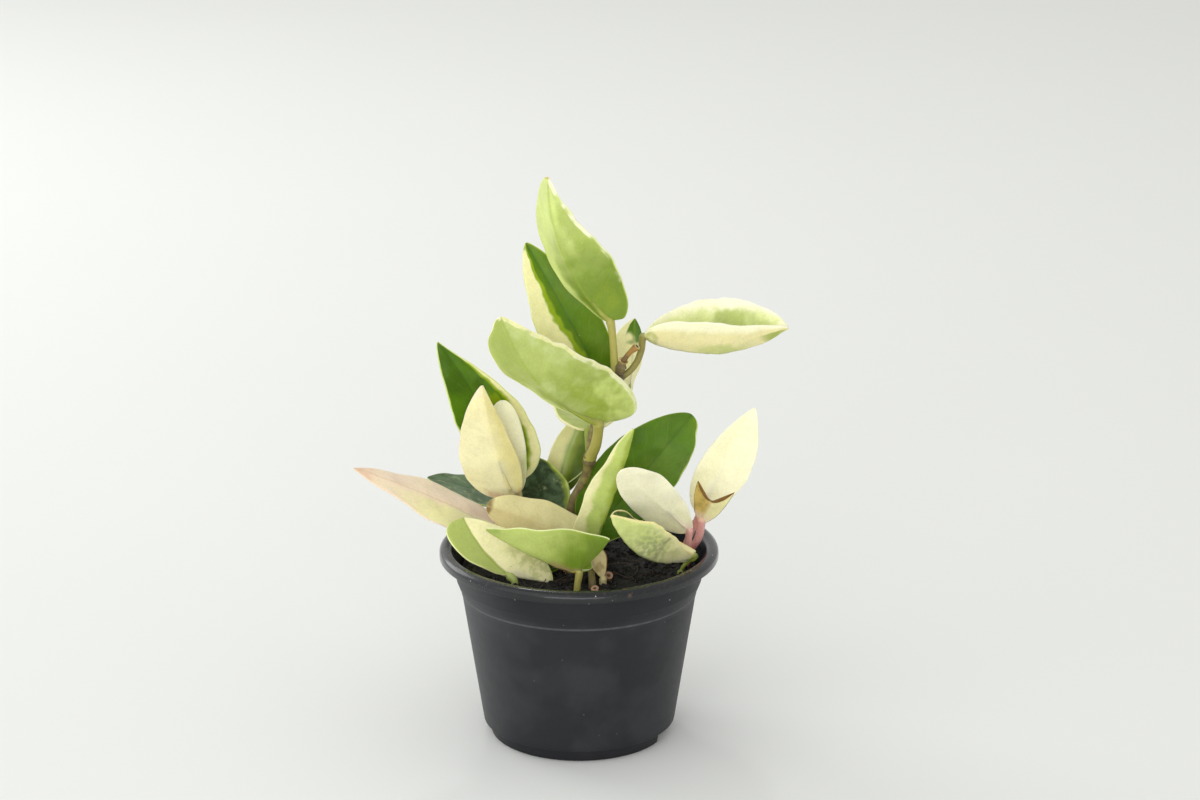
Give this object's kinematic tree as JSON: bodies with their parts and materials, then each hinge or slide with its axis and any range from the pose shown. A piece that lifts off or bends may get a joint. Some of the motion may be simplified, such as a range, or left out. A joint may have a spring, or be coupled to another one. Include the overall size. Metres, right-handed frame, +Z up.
{
  "type": "potted hoya plant",
  "caption": "Young variegated hoya with waxy pointed leaves in green, cream and pink on short stems, in a filled round black nursery pot with a rolled lip and a drained foot.",
  "frame": {"origin": "middle of the pot's flat underside, on the surface that the pot stands on", "axes": "+Z up along the pot's axis, -Y towards the front, +X to the right seen from the front"},
  "size_m": [0.162, 0.1076, 0.219],
  "materials": {
    "pot_plastic": "satin black plastic",
    "potting_soil": "rough damp potting mix",
    "stem": "dull brown bark",
    "stub": "dry cut shoot",
    "leaf_light": "satin waxy leaf",
    "leaf_green": "satin waxy leaf",
    "leaf_pale": "satin waxy leaf",
    "leaf_cream": "satin waxy leaf",
    "leaf_white": "satin waxy leaf",
    "leaf_dark": "satin waxy leaf",
    "leaf_pink": "satin waxy leaf",
    "leaf_beige": "satin waxy leaf, dry at the tip",
    "leaf_olive": "satin waxy leaf with dry brown edges"
  },
  "bodies": {
    "root": {"leaf_behind_stem": "leaf_pale", "leaf_beige": "leaf_beige", "leaf_cream_back": "leaf_cream", "leaf_cream_spoon": "leaf_white", "leaf_dark_wide": "leaf_green", "leaf_front_folded": "leaf_light", "leaf_front_wide": "leaf_pale", "leaf_left_cream": "leaf_cream", "leaf_left_flat": "leaf_dark", "leaf_left_tall": "leaf_green", "leaf_left_white": "leaf_white", "leaf_low_dark": "leaf_dark", "leaf_middle_upright": "leaf_light", "leaf_mottled_middle": "leaf_dark", "leaf_over_lip": "leaf_cream", "leaf_pink": "leaf_pink", "leaf_pointing_back": "leaf_pale", "leaf_right_boat": "leaf_cream", "leaf_right_mottled": "leaf_pale", "leaf_right_white": "leaf_white", "leaf_scrap": "leaf_beige", "leaf_stump": "leaf_olive", "leaf_top": "leaf_light", "leaf_top_behind": "leaf_green", "pot": "pot_plastic", "soil": "potting_soil", "stem_left": "stem", "stem_main": "stem", "stub_low": "stub", "stub_round": "stub"}
  },
  "joints": []
}
